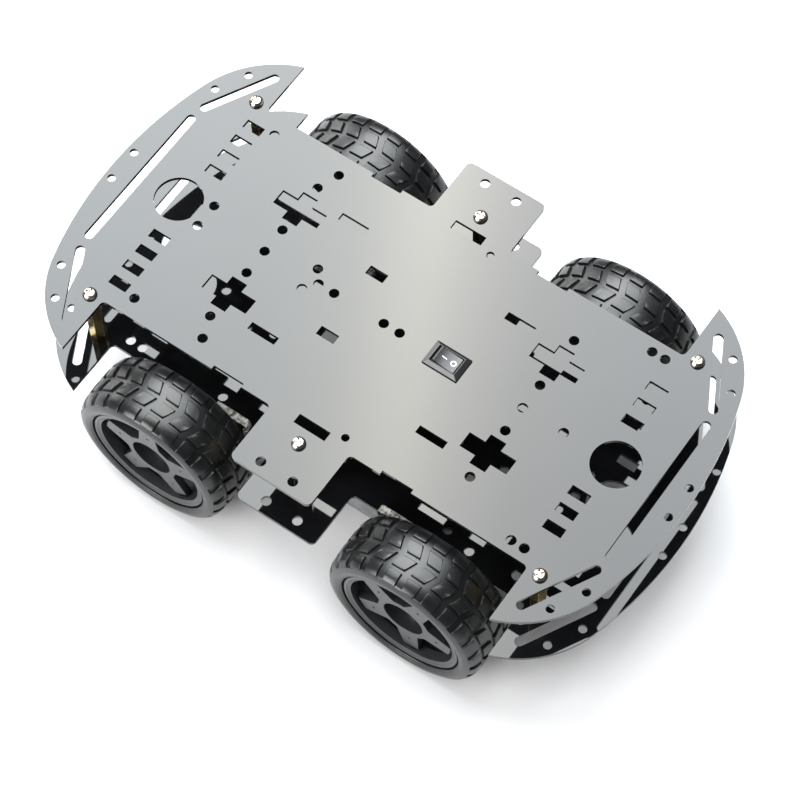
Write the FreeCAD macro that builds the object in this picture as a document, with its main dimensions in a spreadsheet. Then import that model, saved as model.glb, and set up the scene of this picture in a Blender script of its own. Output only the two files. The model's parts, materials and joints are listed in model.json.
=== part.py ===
import FreeCAD, Part
import Sketcher
import math
import os
import re

# Four wheel robot chassis: two thin gloss black plates on brass spacers, four geared motors held
# by clear T brackets under the lower plate, four spoked wheels with block tread tyres, and a
# rocker switch in the upper plate. Millimetres, +Z up. The origin is on the floor, under the
# middle of the plates, and +X points to the end with the switch.

Vector = FreeCAD.Vector
Rotation = FreeCAD.Rotation
Placement = FreeCAD.Placement

X_AXIS = Vector(1, 0, 0)
Y_AXIS = Vector(0, 1, 0)
Z_AXIS = Vector(0, 0, 1)

# Driving dimensions: alias, millimetres (or a plain count or degrees), what it is.
DIMENSIONS = [
    ("plate_thickness", 1.5, "both plates"),
    ("plate_gap", 30.0, "length of the spacers between the plates"),
    ("plate_half_length", 124.2, "middle of the plate to the middle of an end"),
    ("end_arc_radius", 155.6, "long arc across each end"),
    ("end_arc_half_width", 45.5, "where the long arc turns into the bumper's round shoulder"),
    ("body_half_width", 49.4, "half the width between the wheels"),
    ("bumper_inner_edge", 91.5, "x of the straight edge behind each bumper"),
    ("bumper_half_width", 72.8, "half the width across the bumper tips"),
    ("tab_half_length", 17.0, "middle tab, half its length along x"),
    ("tab_half_width", 73.6, "half the width across the middle tabs"),
    ("well_corner", 1.8, "inside corners of the wheel wells"),
    ("tab_corner", 2.2, "outside corners of the middle tabs"),
    ("screw_hole_radius", 1.6, "clearance hole for an M3 screw"),
    ("deck_hole_radius", 1.9, "round holes across the deck"),
    ("rim_hole_radius", 1.6, "small holes along the round ends"),
    ("pilot_hole_radius", 1.5, "single small hole beside each tab slot"),
    ("big_hole_x", 95.0, "x of the large round holes"),
    ("big_hole_radius", 9.25, "large round holes"),
    ("end_screw_x", 96.8, "x of the four corner spacers"),
    ("end_screw_y", 50.0, "y of the four corner spacers"),
    ("tab_screw_y", 56.0, "y of the two tab spacers"),
    ("axle_x", 56.1, "x of the wheel axles and of the cross cut-outs"),
    ("cross_y", 21.6, "y of the cross cut-outs"),
    ("end_slot_x", 112.5, "x of the long straight end slot"),
    ("end_slot_half", 30.4, "half the distance between its end radii"),
    ("end_slot_radius", 1.8, "half the width of the straight and slanted end slots"),
    ("vent_x", 90.9, "x of the rows of rectangular slots"),
    ("vent_first_y", 16.9, "first rectangular slot of a row"),
    ("vent_pitch", 7.8, "step of the rectangular slots"),
    ("vent_length", 7.7, "rectangular slot along x"),
    ("vent_width", 3.8, "rectangular slot along y"),
    ("wheel_radius", 32.5, "tyre over its tread"),
    ("tyre_width", 26.0, "tyre across its side walls"),
    ("tyre_inner_face", 12.8, "motor middle plane to the tyre's inner side"),
    ("seat_radius", 25.0, "tyre bore on the rim barrel"),
    ("barrel_wall", 1.4, "wall of the rim barrel"),
    ("opening_radius", 21.9, "front opening of the rim"),
    ("spoke_front", 35.6, "front face of the spokes from the motor middle plane"),
    ("spoke_thickness", 3.0, "star plate of the rim"),
    ("spoke_count", 5, "arms of the star"),
    ("hub_ring_radius", 10.8, "ring around the hub bowl"),
    ("bowl_radius", 8.3, "open mouth of the hub bowl"),
    ("hub_radius", 5.0, "sleeve on the motor shaft"),
    ("gearbox_height", 22.5, "gearbox across its tall side"),
    ("gearbox_depth", 18.8, "gearbox along the wheel axis"),
    ("gearbox_front", 11.25, "wheel axis to the gearbox nose"),
    ("gearbox_length", 37.0, "gearbox along its long side"),
    ("gearbox_wall", 1.5, "gearbox shell"),
    ("bolt_offset", 19.7, "wheel axis to the two bracket bolts"),
    ("bolt_half_spacing", 8.75, "half the distance between the two bracket bolts"),
    ("bolt_boss_radius", 2.3, "boss around each bolt hole"),
    ("shaft_radius", 2.7, "output shaft"),
    ("shaft_flat", 1.83, "middle of the shaft to each of its two flats"),
    ("shaft_reach", 18.4, "half the length of the output shaft"),
    ("can_radius", 10.05, "motor can"),
    ("can_flat", 7.7, "middle of the can to each flat side"),
    ("can_length", 25.0, "motor can"),
    ("can_wall", 0.6, "motor can"),
    ("strap_thickness", 0.7, "clear strap around each motor"),
    ("strap_half_width", 4.0, "clear strap around each motor"),
    ("bracket_thickness", 3.0, "clear T brackets"),
    ("bracket_stem", 11.2, "width of a bracket's stem"),
    ("bracket_head", 15.2, "width of a bracket's head above the plate"),
    ("bracket_rise", 4.2, "height of a bracket's head above the plate"),
    ("bracket_hang", 0.3, "gap between the lower plate and the gearboxes under it"),
    ("bolt_length", 30.0, "M3 bolt through both brackets and the gearbox"),
    ("thread_radius", 1.5, "M3 threads"),
    ("head_radius", 2.7, "M3 pan head"),
    ("head_height", 2.0, "M3 pan head"),
    ("screw_length", 8.0, "M3 plate screw under its head"),
    ("spacer_flats", 5.5, "hexagon spacers across flats"),
    ("nut_flats", 5.5, "M3 nut across flats"),
    ("nut_height", 2.4, "M3 nut"),
    ("gear_module", 0.4, "tooth size of the gear train"),
    ("pin_radius", 0.75, "steel pins that the middle gears turn on"),
    ("gear_bore", 0.8, "bore of the middle gears"),
    ("switch_x", 23.9, "middle of the rocker switch"),
    ("bezel_length", 14.8, "switch bezel along x"),
    ("bezel_width", 10.3, "switch bezel along y"),
    ("bezel_height", 1.9, "switch bezel above the plate"),
    ("rocker_tilt", 11.0, "degrees that the rocker leans either way"),
]
VALUE = {alias: value for alias, value, note in DIMENSIONS}

doc = FreeCAD.newDocument("robot_chassis")
sheet = doc.addObject("Spreadsheet::Sheet", "Dimensions")
for row, (alias, value, note) in enumerate(DIMENSIONS, start=1):
    sheet.set(f"A{row}", alias)
    sheet.set(f"B{row}", str(value))
    sheet.setAlias(f"B{row}", alias)
    sheet.set(f"C{row}", note)
doc.recompute()

# Heights and stations worked out from the driving dimensions.
AXLE_Z = VALUE["wheel_radius"]
LOWER_BOTTOM = AXLE_Z + VALUE["gearbox_height"] / 2 + VALUE["bracket_hang"]
LOWER_TOP = LOWER_BOTTOM + VALUE["plate_thickness"]
UPPER_BOTTOM = LOWER_TOP + VALUE["plate_gap"]
UPPER_TOP = UPPER_BOTTOM + VALUE["plate_thickness"]
MOTOR_Y = 38.5
BRACKET_X = VALUE["axle_x"] - VALUE["bolt_offset"]
GEARBOX_HALF = VALUE["gearbox_depth"] / 2
GEARBOX_END = VALUE["gearbox_front"] - VALUE["gearbox_length"]
CAN_END = GEARBOX_END - VALUE["can_length"]


# ---------------------------------------------------------------- helpers

def expression(text):
    """Write an expression in aliases as one in the sheet's cells."""
    return re.sub(r"[a-z_]+", lambda found: "Dimensions." + found.group(0)
                  if found.group(0) in VALUE else found.group(0), text)


def bind(obj, **sizes):
    """Bind properties of an object to the sheet; a plain number is set as it is."""
    for name, size in sizes.items():
        if isinstance(size, str):
            obj.setExpression(name, expression(size))
        else:
            setattr(obj, name, size)
    return obj


def box(name, corner, length, width, height):
    shape = doc.addObject("Part::Box", name)
    bind(shape, Length=length, Width=width, Height=height)
    shape.Placement.Base = Vector(*corner)
    return shape


def cylinder(name, base, direction, radius, height):
    shape = doc.addObject("Part::Cylinder", name)
    bind(shape, Radius=radius, Height=height)
    shape.Placement = Placement(Vector(*base), Rotation(Z_AXIS, direction))
    return shape


def hexagon(name, base, direction, flats, height):
    shape = doc.addObject("Part::Prism", name)
    shape.Polygon = 6
    bind(shape, Circumradius=f"{flats} / 1.7320508", Height=height)
    shape.Placement = Placement(Vector(*base), Rotation(Z_AXIS, direction))
    return shape


def fuse(name, *shapes):
    result = doc.addObject("Part::MultiFuse", name)
    result.Shapes = list(shapes)
    result.Refine = True
    return result


def common(name, first, second):
    result = doc.addObject("Part::MultiCommon", name)
    result.Shapes = [first, second]
    return result


def cut(name, base, *tools):
    result = doc.addObject("Part::Cut", name)
    result.Base = base
    result.Tool = tools[0] if len(tools) == 1 else fuse(name + "_tools", *tools)
    return result


def feature(name, shape, placement=Placement()):
    """A sub-part whose shape no feature makes, such as a gear with computed teeth."""
    result = doc.addObject("Part::Feature", name)
    result.Shape = shape
    result.Placement = placement
    return result


def body_of(name):
    return doc.addObject("PartDesign::Body", name)


def sketch_on(body, role, name, height=0.0):
    """A sketch on one of the body's own planes, moved along the plane's normal."""
    sketch = body.newObject("Sketcher::SketchObject", name)
    plane = [item for item in body.Origin.OriginFeatures if item.Role == role][0]
    sketch.AttachmentSupport = [(plane, "")]
    sketch.MapMode = "FlatFace"
    sketch.AttachmentOffset = Placement(Vector(0, 0, height), Rotation())
    return sketch


def draw_path(sketch, edges):
    """Add straight and arc edges, given as Part edges in the sketch's own plane."""
    for edge in edges:
        sketch.addGeometry(edge, False)


def polyline(points):
    closed = list(points) + [points[0]]
    return [Part.LineSegment(Vector(*a, 0), Vector(*b, 0)) for a, b in zip(closed, closed[1:])]


def rectangle(cx, cy, length, width):
    dx, dy = length / 2, width / 2
    return polyline([(cx - dx, cy - dy), (cx + dx, cy - dy), (cx + dx, cy + dy), (cx - dx, cy + dy)])


def corner_arc(cx, cy, radius, start, end):
    """An arc about a centre between two directions in degrees."""
    circle = Part.Circle(Vector(cx, cy, 0), Z_AXIS, radius)
    return Part.ArcOfCircle(circle, math.radians(start), math.radians(end))


def rounded_rectangle(cx, cy, length, width, radius):
    dx, dy = length / 2 - radius, width / 2 - radius
    edges = []
    for index, (sx, sy) in enumerate([(1, 1), (-1, 1), (-1, -1), (1, -1)]):
        edges.append(corner_arc(cx + sx * dx, cy + sy * dy, radius, 90 * index, 90 * index + 90))
    for first, second in zip(edges, edges[1:] + edges[:1]):
        edges.append(Part.LineSegment(first.EndPoint, second.StartPoint))
    return edges


def slot(start, end, radius):
    """A slot with round ends between two end centres."""
    along = Vector(*end, 0) - Vector(*start, 0)
    heading = math.degrees(math.atan2(along.y, along.x))
    far = corner_arc(*end, radius, heading - 90, heading + 90)
    near = corner_arc(*start, radius, heading + 90, heading + 270)
    return [far, Part.LineSegment(far.EndPoint, near.StartPoint),
            near, Part.LineSegment(near.EndPoint, far.StartPoint)]


def add_circle(sketch, x, y, radius):
    """A circle held at its place, with its radius bound to the sheet."""
    start = VALUE[radius] if radius in VALUE else 1.0
    index = sketch.addGeometry(Part.Circle(Vector(x, y, 0), Z_AXIS, start), False)
    sketch.addConstraint(Sketcher.Constraint("DistanceX", -1, 1, index, 3, x))
    sketch.addConstraint(Sketcher.Constraint("DistanceY", -1, 1, index, 3, y))
    number = sketch.addConstraint(Sketcher.Constraint("Radius", index, start))
    sketch.setExpression(f"Constraints[{number}]", expression(radius))


def pad(body, sketch, length, reverse=False):
    result = body.newObject("PartDesign::Pad", sketch.Name + "_pad")
    result.Profile = sketch
    result.Reversed = reverse
    bind(result, Length=length)
    return result


def pocket(body, sketch, depth=None, reverse=False):
    """Cut a sketch out of the body, right through both ways if no depth is given."""
    doc.recompute()
    before = body.Shape.Volume
    result = body.newObject("PartDesign::Pocket", sketch.Name + "_pocket")
    result.Profile = sketch
    if depth is None:
        result.Type = "ThroughAll"
        result.Midplane = True
    else:
        result.Reversed = reverse
        bind(result, Length=depth)
    doc.recompute()
    if not body.Shape.Volume < before - 1e-6:
        raise RuntimeError(f"{result.Name} removes nothing")
    return result


NODES = []


def node(name, source, placement=Placement()):
    """One named sub-part: a pattern piece, or several, at its place in the chassis."""
    result = doc.addObject("Part::Compound", name)
    result.Links = source if isinstance(source, list) else [source]
    result.Placement = placement
    result.Label = name
    NODES.append(result)
    return result


def copies(name, pattern, placements):
    """Separate solids of one pattern piece, such as the screws of one kind."""
    made = []
    for number, place in enumerate(placements, start=1):
        one = doc.addObject("Part::Compound", f"{name}_copy_{number}")
        one.Links = [pattern]
        one.Placement = place
        made.append(one)
    return made


def at(x, y, z, rotation=Rotation()):
    return Placement(Vector(x, y, z), rotation)


def mirrored_points(x, y):
    return [(sx * x, sy * y) for sx in (-1, 1) for sy in (-1, 1)]


# ---------------------------------------------------------------- the two plates

# Edge notches and cut-outs of the plates: sizes are (along x, along y), places are (x, y).
NOTCH_LENGTH = 13.0
NOTCH_PLAY = 0.1
SLANT_SLOT_ENDS = ((111.3, 37.3), (97.6, 62.5))
TAB_SLOT_Y, TAB_SLOT_SIZE = 48.1, (13.3, 3.9)
SIDE_SLOT_AT, SIDE_SLOT_SIZE = (-17.2, 15.1), (7.6, 3.8)
BRACKET_SLOT_SIZE = (11.7, 3.2)
SWITCH_CUTOUT_SIZE = (13.4, 8.9)
CROSS_BAR_SIZE = (19.6, 6.4)
CROSS_POST_SIZE = (6.5, 13.4)
VENT_COUNTS = ((4, -1), (3, 1))
PILOT_HOLE_AT = (11.9, 44.8)
TAB_HOLE_AT = (6.85, 68.9)
END_HOLES_AT = ((120.8, 6.7), (113.1, 46.1), (106.4, 58.1))
AXLE_ROW_Y = (-32.6, -10.9, 0.0, 10.9, 32.6)
# Deck holes on the middle line, and deck holes that come in pairs across it.
SINGLE_DECK_X = (-32.1, -25.2, -3.45, 3.45, 73.3)
PAIRED_DECK_AT = ((-82.6, 5.0), (-82.8, 42.2), (-52.9, 41.4), (-35.9, 4.9), (81.3, 44.5), (86.7, 44.5))


def plate_outline():
    """Round ended plate with a straight sided bumper at each corner and a tab on each side."""
    half = VALUE["plate_half_length"]
    big = VALUE["end_arc_radius"]
    edge = VALUE["body_half_width"]
    well = VALUE["well_corner"]
    tip_x, tip_y = VALUE["bumper_inner_edge"], VALUE["bumper_half_width"]
    tab_x, tab_y, tab_r = VALUE["tab_half_length"], VALUE["tab_half_width"], VALUE["tab_corner"]
    centre_x = half - big
    join_y = VALUE["end_arc_half_width"]
    join = Vector(centre_x + math.sqrt(big ** 2 - join_y ** 2), join_y, 0)
    inward = (Vector(centre_x, 0, 0) - join).normalize()
    # The shoulder arc leaves the long arc in its own direction and ends at the bumper tip.
    tip = Vector(tip_x, tip_y, 0)
    span = tip - join
    shoulder = span.Length ** 2 / (2 * span.dot(inward))
    shoulder_centre = join + inward * shoulder
    halfway = (join - shoulder_centre) + (tip - shoulder_centre)
    shoulder_mid = shoulder_centre + halfway.normalize() * shoulder
    notch_from = BRACKET_X - NOTCH_LENGTH / 2
    notch_to = BRACKET_X + NOTCH_LENGTH / 2
    notch_y = MOTOR_Y + GEARBOX_HALF - NOTCH_PLAY
    # One quarter, from the middle of the tab round to the middle of the end.
    corners = [Vector(0, tab_y, 0), Vector(tab_x - tab_r, tab_y, 0),
               Vector(tab_x, tab_y - tab_r, 0), Vector(tab_x, edge + well, 0),
               Vector(tab_x + well, edge, 0), Vector(notch_from, edge, 0),
               Vector(notch_from, notch_y, 0), Vector(notch_to, notch_y, 0),
               Vector(notch_to, edge, 0), Vector(tip_x - well, edge, 0),
               Vector(tip_x, edge + well, 0), tip]
    round_at = {1: (tab_x - tab_r, tab_y - tab_r, tab_r, 45),
                3: (tab_x + well, edge + well, well, 225),
                9: (tip_x - well, edge + well, well, 315)}
    quarter = []
    for index, (start, end) in enumerate(zip(corners, corners[1:])):
        if index in round_at:
            cx, cy, radius, middle = round_at[index]
            direction = Vector(math.cos(math.radians(middle)), math.sin(math.radians(middle)), 0)
            quarter.append(("arc", start, Vector(cx, cy, 0) + direction * radius, end))
        else:
            quarter.append(("line", start, None, end))
    quarter.append(("arc", tip, shoulder_mid, join))
    end_middle = Vector(half, 0, 0)
    between = (join - Vector(centre_x, 0, 0)) + (end_middle - Vector(centre_x, 0, 0))
    quarter.append(("arc", join, Vector(centre_x, 0, 0) + between.normalize() * big, end_middle))
    edges = []
    for sx, sy in [(1, 1), (-1, 1), (-1, -1), (1, -1)]:
        for kind, start, middle, end in quarter:
            points = [Vector(p.x * sx, p.y * sy, 0) for p in (start, middle, end) if p]
            edges.append(Part.LineSegment(*points) if kind == "line" else Part.Arc(*points))
    return edges


def deck_holes():
    """Centres of the round deck holes."""
    holes = [(x, 0.0) for x in SINGLE_DECK_X]
    holes += [(x, side * y) for x, y in PAIRED_DECK_AT for side in (-1, 1)]
    holes += [(side * VALUE["axle_x"], y) for side in (-1, 1) for y in AXLE_ROW_Y]
    return holes + mirrored_points(*TAB_HOLE_AT)


def screw_points():
    points = mirrored_points(VALUE["end_screw_x"], VALUE["end_screw_y"])
    return points + [(0.0, VALUE["tab_screw_y"]), (0.0, -VALUE["tab_screw_y"])]


def plate(name, height, turn=0):
    """One pierced plate; both plates are the same piece, the lower one turned end for end."""
    body = body_of(name + "_body")
    outline = sketch_on(body, "XY_Plane", name + "_outline")
    draw_path(outline, plate_outline())
    pad(body, outline, "plate_thickness")

    rounds = sketch_on(body, "XY_Plane", name + "_round_holes")
    for x, y in screw_points():
        add_circle(rounds, x, y, "screw_hole_radius")
    for x, y in deck_holes():
        add_circle(rounds, x, y, "deck_hole_radius")
    for hole in END_HOLES_AT:
        for x, y in mirrored_points(*hole):
            add_circle(rounds, x, y, "rim_hole_radius")
    for side in (-1, 1):
        add_circle(rounds, PILOT_HOLE_AT[0], side * PILOT_HOLE_AT[1], "pilot_hole_radius")
        add_circle(rounds, side * VALUE["big_hole_x"], 0.0, "big_hole_radius")
    pocket(body, rounds)

    slots = sketch_on(body, "XY_Plane", name + "_slots")
    radius = VALUE["end_slot_radius"]
    reach = VALUE["end_slot_half"]
    for side in (-1, 1):
        x = side * VALUE["end_slot_x"]
        draw_path(slots, slot((x, -reach), (x, reach), radius))
        for across in (-1, 1):
            near, far = [(side * x, across * y) for x, y in SLANT_SLOT_ENDS]
            draw_path(slots, slot(near, far, radius))
    pocket(body, slots)

    square = sketch_on(body, "XY_Plane", name + "_square_cuts")
    for across in (-1, 1):
        for count, side in VENT_COUNTS:
            x = side * VALUE["vent_x"]
            for step in range(count):
                y = across * (VALUE["vent_first_y"] + step * VALUE["vent_pitch"])
                draw_path(square, rectangle(x, y, VALUE["vent_length"], VALUE["vent_width"]))
        draw_path(square, rectangle(0.0, across * TAB_SLOT_Y, *TAB_SLOT_SIZE))
        draw_path(square, rectangle(SIDE_SLOT_AT[0], across * SIDE_SLOT_AT[1], *SIDE_SLOT_SIZE))
        for side in (-1, 1):
            y = MOTOR_Y - GEARBOX_HALF - VALUE["bracket_thickness"] / 2
            draw_path(square, rectangle(side * BRACKET_X, across * y, *BRACKET_SLOT_SIZE))
            draw_path(square, cross_outline(side * VALUE["axle_x"], across * VALUE["cross_y"]))
    draw_path(square, rectangle(VALUE["switch_x"], 0.0, *SWITCH_CUTOUT_SIZE))
    pocket(body, square)
    return node(name, body, at(0, 0, height, Rotation(Z_AXIS, turn)))


def cross_outline(cx, cy):
    """A cross whose bar lies along x; each quarter gives three corners, in turn about the middle."""
    bar_x, bar_y = [size / 2 for size in CROSS_BAR_SIZE]
    post_x, post_y = [size / 2 for size in CROSS_POST_SIZE]
    quarter = [(post_x, post_y), (post_x, bar_y), (bar_x, bar_y)]
    points = []
    for sx, sy, order in [(1, 1, 1), (1, -1, -1), (-1, -1, 1), (-1, 1, -1)]:
        points += [(cx + sx * x, cy + sy * y) for x, y in quarter[::order]]
    return polyline(points)


# ---------------------------------------------------------------- fasteners

HEAD_DOME = 1.7
THREAD_PLAY = 0.03
SCREW_TURN_STEP = 25.0


def phillips_cut(name, top, depth=1.1, length=3.2, width=0.8):
    """Two crossed bars that make the driver recess in a screw's head."""
    first = box(name + "_a", (-length / 2, -width / 2, top - depth), length, width, depth + 1)
    second = box(name + "_b", (-width / 2, -length / 2, top - depth), width, length, depth + 1)
    return fuse(name, first, second)


def pan_screw(name, length):
    """Pan head screw, its head standing on z = 0 and its shank going down."""
    head = cylinder(name + "_head", (0, 0, 0), Z_AXIS, "head_radius", "head_height")
    doc.recompute()
    top_edge = [number for number, edge in enumerate(head.Shape.Edges, start=1)
                if abs(edge.CenterOfMass.z - VALUE["head_height"]) < 1e-6 and len(edge.Vertexes) == 1]
    domed = doc.addObject("Part::Fillet", name + "_dome")
    domed.Base = head
    domed.Edges = [(number, HEAD_DOME, HEAD_DOME) for number in top_edge]
    shank = cylinder(name + "_shank", (0, 0, 0), -Z_AXIS, "thread_radius", length)
    blank = fuse(name + "_blank", domed, shank)
    return cut(name, blank, phillips_cut(name + "_cross", VALUE["head_height"]))


def fasteners():
    tapped = f"thread_radius + {THREAD_PLAY}"
    spacer = cut("spacer_pattern",
                 hexagon("spacer_hexagon", (0, 0, 0), Z_AXIS, "spacer_flats", "plate_gap"),
                 cylinder("spacer_bore", (0, 0, -1), Z_AXIS, tapped, "plate_gap + 2"))
    places = [at(x, y, LOWER_TOP) for x, y in screw_points()]
    node("brass_spacers", copies("brass_spacer", spacer, places))

    screw = pan_screw("plate_screw_pattern", "screw_length")
    places = [at(x, y, UPPER_TOP, Rotation(Z_AXIS, SCREW_TURN_STEP * number))
              for number, (x, y) in enumerate(screw_points())]
    node("upper_plate_screws", copies("upper_plate_screw", screw, places))
    over = Rotation(X_AXIS, 180)
    places = [at(x, y, LOWER_BOTTOM, over) for x, y in screw_points()]
    node("lower_plate_screws", copies("lower_plate_screw", screw, places))

    bolt = pan_screw("motor_bolt_pattern", "bolt_length")
    bolt_nut = cut("motor_nut_pattern",
                   hexagon("motor_nut_hexagon", (0, 0, 0), Z_AXIS, "nut_flats", "nut_height"),
                   cylinder("motor_nut_bore", (0, 0, -1), Z_AXIS, tapped, "nut_height + 2"))
    thickness = VALUE["bracket_thickness"]
    bolts, nuts = [], []
    for x, side in mirrored_points(BRACKET_X, 1):
        outward = Rotation(Z_AXIS, Vector(0, side, 0))
        for level in (-1, 1):
            z = AXLE_Z + level * VALUE["bolt_half_spacing"]
            bolts.append(at(x, side * (MOTOR_Y + GEARBOX_HALF + thickness), z, outward))
            y = MOTOR_Y - GEARBOX_HALF - thickness - VALUE["nut_height"]
            nuts.append(at(x, side * y, z, outward))
    node("motor_bolts", copies("motor_bolt", bolt, bolts))
    node("motor_nuts", copies("motor_nut", bolt_nut, nuts))


# ---------------------------------------------------------------- clear T brackets

BRACKET_FOOT = 3.6
BRACKET_CORNER = 1.6


def brackets():
    """T shaped plates that hang through the lower plate and clamp a gearbox between them."""
    body = body_of("bracket_pattern")
    outline = sketch_on(body, "XZ_Plane", "bracket_outline")
    stem, head = VALUE["bracket_stem"] / 2, VALUE["bracket_head"] / 2
    low = AXLE_Z - VALUE["bolt_half_spacing"] - BRACKET_FOOT
    high = LOWER_TOP + VALUE["bracket_rise"]
    corner = BRACKET_CORNER
    points = [(-stem + corner, low), (stem - corner, low), (stem, low + corner), (stem, LOWER_TOP),
              (head, LOWER_TOP), (head, high - corner), (head - corner, high),
              (-head + corner, high), (-head, high - corner), (-head, LOWER_TOP),
              (-stem, LOWER_TOP), (-stem, low + corner)]
    arcs = {1: (stem - corner, low + corner, 270, 360), 5: (head - corner, high - corner, 0, 90),
            7: (-head + corner, high - corner, 90, 180), 11: (-stem + corner, low + corner, 180, 270)}
    for index, (start, end) in enumerate(zip(points, points[1:] + points[:1])):
        if index in arcs:
            cx, cy, first, last = arcs[index]
            outline.addGeometry(corner_arc(cx, cy, corner, first, last), False)
        else:
            outline.addGeometry(Part.LineSegment(Vector(*start, 0), Vector(*end, 0)), False)
    pad(body, outline, "bracket_thickness", reverse=True)
    holes = sketch_on(body, "XZ_Plane", "bracket_holes")
    for level in (-1, 1):
        add_circle(holes, 0.0, AXLE_Z + level * VALUE["bolt_half_spacing"], "screw_hole_radius")
    pocket(body, holes)

    over = Rotation(Z_AXIS, 180)
    outer, inner = [], []
    for x, side in mirrored_points(BRACKET_X, 1):
        turn = Rotation() if side > 0 else over
        outer.append(at(x, side * (MOTOR_Y + GEARBOX_HALF), 0, turn))
        inner.append(at(x, side * (MOTOR_Y - GEARBOX_HALF - VALUE["bracket_thickness"]), 0, turn))
    node("outer_brackets", copies("outer_bracket", body, outer))
    node("inner_brackets", copies("inner_bracket", body, inner))


# ---------------------------------------------------------------- gear motor, in its own frame
#
# The wheel axis is local Y through the origin, with the wheel on the +Y side. The long side of
# the gearbox and the motor run along -X. Each motor is turned by half a turn into its place.

CROWN_AT = (-15.8, 0.0)
IDLER_AT = (-8.66, 3.1)
TEETH = {"output": 36, "idler_small": 10, "idler_large": 30, "crown_small": 9, "crown": 32, "motor": 8}
PRESSURE_ANGLE = math.radians(25)
ADDENDUM = 0.85
DEDENDUM = 1.25
TOOTH_PLAY = 0.035
# Spans along local Y of the gears, and of the crown gear's disc, hub and ring of teeth.
OUTPUT_GEAR_SPAN = (4.4, 7.0)
IDLER_LARGE_SPAN = (0.8, 3.2)
IDLER_SMALL_SPAN = (3.2, 7.2)
CROWN_SMALL_SPAN = (0.5, 3.4)
CROWN_DISC_SPAN, CROWN_DISC_RADIUS = (-5.0, -2.2), 6.9
CROWN_HUB_RADIUS = 1.3
CROWN_TOOTH_RADII = (6.0, 6.8)
# Stations along local X inside the motor, and the radii of what turns there.
PINION_SPAN = (-23.4, -21.1)
ROTOR_SHAFT_SPAN, ROTOR_SHAFT_RADIUS = (-52.5, -20.9), 1.0
ARMATURE_SPAN, ARMATURE_RADIUS = (-45.0, -29.0), 6.5
COMMUTATOR_SPAN, COMMUTATOR_RADIUS = (-48.4, -46.2), 2.5
BEARING_RADIUS = ROTOR_SHAFT_RADIUS + 0.05
MAGNET_SPAN, MAGNET_BORE_RADIUS = (-46.0, -28.0), 7.0
MAGNET_HALF_WIDTH, MAGNET_EDGE = 6.4, 2.0
CLEAR_OF_ALL = 30.0
# Gearbox details: cover screws, nose ear, lugs that the strap hooks onto, motor terminals.
COVER_SCREW_AT = (8.0, 8.0)
EAR_REACH, EAR_SIZE, EAR_THICKNESS = 2.4, (5.6, 5.4), 1.5
LUG_SIZE, LUG_THICKNESS = (1.2, 1.3), 1.5
PIN_SOCKET_DEPTH = 0.8
TERMINAL_Z = 6.0
TERMINAL_HALF_WIDTH, TERMINAL_HALF_THICKNESS = 1.0, 0.25


def involute(angle):
    return math.tan(angle) - angle


def gear_wire(teeth, point_at):
    """Closed outline of a spur gear; point_at turns a radius and an angle into a point."""
    module = VALUE["gear_module"]
    pitch = module * teeth / 2
    base = pitch * math.cos(PRESSURE_ANGLE)
    root = pitch - DEDENDUM * module
    tip = pitch + ADDENDUM * module
    half_pitch = (math.pi * module / 4 - TOOTH_PLAY) / pitch

    def half_angle(radius):
        angle = math.acos(min(1.0, base / max(radius, base)))
        return half_pitch + involute(PRESSURE_ANGLE) - involute(angle)

    flank = [(root, half_angle(root)), (max(base, root + 0.02), half_angle(base)),
             (pitch, half_angle(pitch)), (tip, half_angle(tip))]
    points = []
    for tooth in range(teeth):
        middle = 2 * math.pi * tooth / teeth
        points += [point_at(radius, middle - half) for radius, half in flank]
        points += [point_at(radius, middle + half) for radius, half in reversed(flank)]
    return Part.makePolygon(points + points[:1])


def spur_gear(teeth, span):
    """Spur gear about local Y, with a tooth pointing along +Z."""
    bottom, top = span
    wire = gear_wire(teeth, lambda radius, angle: Vector(radius * math.sin(angle), bottom,
                                                         radius * math.cos(angle)))
    return Part.Face(wire).extrude(Vector(0, top - bottom, 0))


def rod(span, radius, axis):
    """Round bar along one of the motor's axes between two stations."""
    return Part.makeCylinder(radius, span[1] - span[0], axis * span[0], axis)


def crown_teeth(root_y, tip_y):
    """Face gear teeth that stand along +Y, thinner towards the middle of the gear."""
    module = VALUE["gear_module"]
    teeth = TEETH["crown"]
    pitch = module * teeth / 2
    slope = math.tan(PRESSURE_ANGLE)
    middle_half = math.pi * module / 4 - 2 * TOOTH_PLAY
    pitch_y = tip_y - ADDENDUM * module
    made = []
    for tooth in range(teeth):
        angle = 2 * math.pi * tooth / teeth
        radial = Vector(math.sin(angle), 0, math.cos(angle))
        across = Vector(math.cos(angle), 0, -math.sin(angle))
        ends = []
        for radius in CROWN_TOOTH_RADII:
            scale = radius / pitch
            low = (middle_half + (pitch_y - root_y) * slope) * scale
            high = (middle_half - (tip_y - pitch_y) * slope) * scale
            corners = [radial * radius + across * side * half + Y_AXIS * y
                       for side, half, y in ((-1, low, root_y), (1, low, root_y),
                                             (1, high, tip_y), (-1, high, tip_y))]
            ends.append(Part.makePolygon(corners + corners[:1]))
        made.append(Part.makeLoft(ends, True, True))
    return made


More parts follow.
